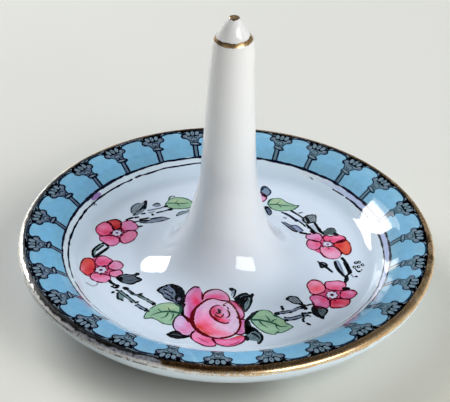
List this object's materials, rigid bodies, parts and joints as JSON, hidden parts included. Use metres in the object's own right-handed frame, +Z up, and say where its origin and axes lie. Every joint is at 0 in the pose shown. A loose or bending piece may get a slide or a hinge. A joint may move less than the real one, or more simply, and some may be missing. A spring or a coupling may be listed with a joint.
{
  "type": "ring dish",
  "caption": "Round shallow porcelain ring dish with a hollow tapered ring post, enamelled arcade border, painted garland and gilded edges, on a foot ring.",
  "frame": {"origin": "on the table, under the centre of the post: centre of the foot's bearing edge", "axes": "+Z up along the post, -Y towards the front, where the large rose is, +X to the right"},
  "size_m": [0.0954, 0.0954, 0.0671],
  "materials": {
    "glazed_porcelain": "white glazed porcelain, glossy, with a faint blue-lavender cast",
    "bare_porcelain": "unglazed ground porcelain",
    "gold": "fired gold, burnished, worn in places",
    "print_ink": "blue-black transfer print under the glaze",
    "turquoise_enamel": "hand-painted turquoise enamel",
    "pink_enamel": "hand-painted pink enamel, shaded to red",
    "green_enamel": "hand-painted light green enamel"
  },
  "bodies": {
    "root": {"saucer": "glazed_porcelain", "foot_ring": "bare_porcelain", "luting_slip": "glazed_porcelain", "ring_post": "glazed_porcelain", "rim_gilding": "gold", "shoulder_gilding": "gold", "tip_gilding": "gold", "border_print": "print_ink", "border_enamel": "turquoise_enamel", "rose_enamel": "pink_enamel", "blossom_enamel": "pink_enamel", "leaf_enamel": "green_enamel", "garland_print": "print_ink"}
  },
  "joints": []
}
